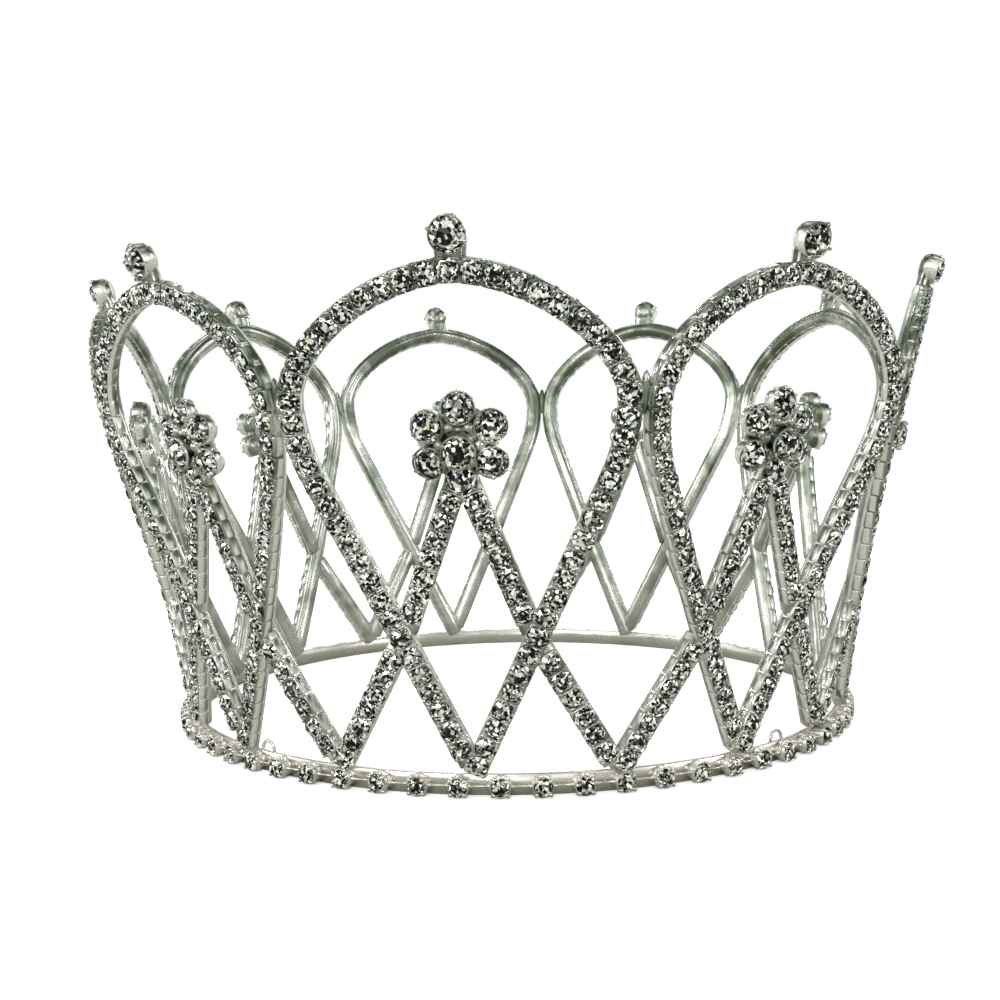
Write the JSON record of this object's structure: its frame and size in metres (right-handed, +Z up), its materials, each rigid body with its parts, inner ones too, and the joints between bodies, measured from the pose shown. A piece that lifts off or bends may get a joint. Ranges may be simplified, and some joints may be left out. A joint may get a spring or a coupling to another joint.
{
  "type": "crystal crown",
  "caption": "Full round rhinestone crown: pointed loops of set stones on a slim band, crossed struts below, a stone flower in each loop and a single stone on each arch.",
  "frame": {"origin": "on the crown's axis, in the plane on which the band stands", "axes": "+Z up along the crown's axis; the front lobe faces -Y; lobes are counted from the front towards +X"},
  "size_m": [0.1654, 0.1656, 0.0876],
  "materials": {
    "silver_metal": "polished silver-coloured plating, slightly warm",
    "crystal": "clear cut glass, foiled behind"
  },
  "bodies": {
    "root": {"base_band": "silver_metal", "base_stones": "crystal", "loop_1": "silver_metal", "loop_2": "silver_metal", "loop_3": "silver_metal", "loop_4": "silver_metal", "loop_5": "silver_metal", "loop_6": "silver_metal", "loop_7": "silver_metal", "loop_8": "silver_metal", "loop_9": "silver_metal", "peak_1": "silver_metal", "peak_2": "silver_metal", "peak_3": "silver_metal", "peak_4": "silver_metal", "peak_5": "silver_metal", "peak_6": "silver_metal", "peak_7": "silver_metal", "peak_8": "silver_metal", "peak_9": "silver_metal", "foot_1": "silver_metal", "foot_2": "silver_metal", "foot_3": "silver_metal", "foot_4": "silver_metal", "foot_5": "silver_metal", "foot_6": "silver_metal", "foot_7": "silver_metal", "foot_8": "silver_metal", "foot_9": "silver_metal", "flower_stones_1": "crystal", "flower_stones_2": "crystal", "flower_stones_3": "crystal", "flower_stones_4": "crystal", "flower_stones_5": "crystal", "flower_stones_6": "crystal", "flower_stones_7": "crystal", "flower_stones_8": "crystal", "flower_stones_9": "crystal", "finial_stone_1": "crystal", "finial_stone_2": "crystal", "finial_stone_3": "crystal", "finial_stone_4": "crystal", "finial_stone_5": "crystal", "finial_stone_6": "crystal", "finial_stone_7": "crystal", "finial_stone_8": "crystal", "finial_stone_9": "crystal"}
  },
  "joints": []
}
